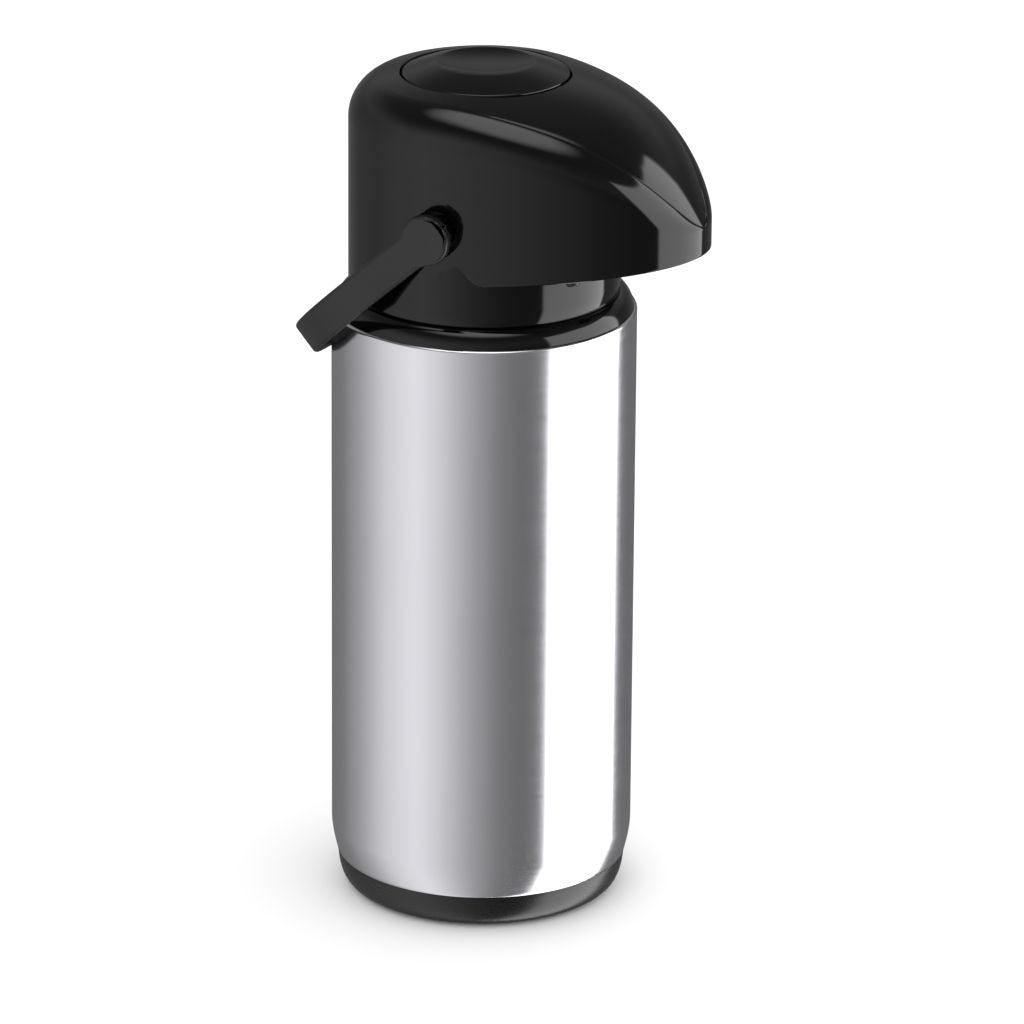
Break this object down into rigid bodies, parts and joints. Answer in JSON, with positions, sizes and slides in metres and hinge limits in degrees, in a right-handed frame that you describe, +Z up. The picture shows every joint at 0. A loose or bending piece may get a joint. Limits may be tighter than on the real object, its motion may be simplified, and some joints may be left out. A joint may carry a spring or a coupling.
{
  "type": "thermal coffee airpot",
  "caption": "Pump airpot: steel-jacketed vacuum flask on a black base, screw-on pump head with a forward beak spout, push pad on top and a swinging bail handle.",
  "frame": {"origin": "centre of the base, on the surface the airpot stands on", "axes": "+Z up the flask's axis; -Y towards the beak and its spout; X along the handle's pivots"},
  "size_m": [0.126, 0.1669, 0.3424],
  "materials": {
    "brushed_steel": "satin",
    "black_gloss": "gloss",
    "black_satin": "satin",
    "black_rubber": "matte",
    "silicone": "satin",
    "silvered_glass": "mirror-silvered",
    "felt": "matte",
    "natural_plastic": "satin",
    "grey_plastic": "satin",
    "spring_steel": "polished"
  },
  "bodies": {
    "vessel": {"steel_jacket": "brushed_steel", "base_cup": "black_gloss", "foot_ring": "black_rubber", "base_cap": "black_satin", "flask_cushion": "black_rubber", "flask_outer_wall": "silvered_glass", "flask_inner_wall": "silvered_glass", "flask_spacers": "felt", "shoulder_collar": "black_gloss", "neck_gasket": "silicone"},
    "seal": {"mouth_seal": "silicone"},
    "head": {"neck_skirt": "black_gloss", "head_shell": "black_gloss", "beak_cover": "black_satin", "head_deck": "grey_plastic", "spout_pipe": "natural_plastic", "spout_nozzle": "black_satin", "siphon_tube": "natural_plastic", "tube_grommet": "silicone", "valve_cage": "natural_plastic", "bellows": "natural_plastic", "return_spring": "spring_steel", "cover_screws": "black_satin"},
    "button": {"push_pad": "black_gloss", "bellows_plate": "natural_plastic", "air_valve": "silicone"},
    "ball": {"check_ball": "spring_steel"},
    "bail": {"bail_handle": "black_satin", "trunnion_clips": "spring_steel"}
  },
  "joints": [
    {"name": "head_lift", "type": "slide", "parent": "vessel", "child": "seal", "axis": [0, 0, 1], "range_m": [0, 0.23]},
    {"name": "head_twist", "type": "hinge", "parent": "seal", "child": "head", "pos_m": [0, 0, 0.26], "axis": [0, 0, 1], "range_deg": [0, 90]},
    {"name": "push", "type": "slide", "parent": "head", "child": "button", "axis": [0, 0, -1], "range_m": [0, 0.022], "stiffness_N_per_m": 600, "springref_m": -0.004, "deforming": ["bellows", "return_spring"]},
    {"name": "ball_lift", "type": "slide", "parent": "head", "child": "ball", "axis": [0, 0, 1], "range_m": [0, 0.003]},
    {"name": "bail_swing", "type": "hinge", "parent": "head", "child": "bail", "pos_m": [0, -0.0035, 0.2868], "axis": [1, 0, 0], "range_deg": [0, 205]}
  ]
}
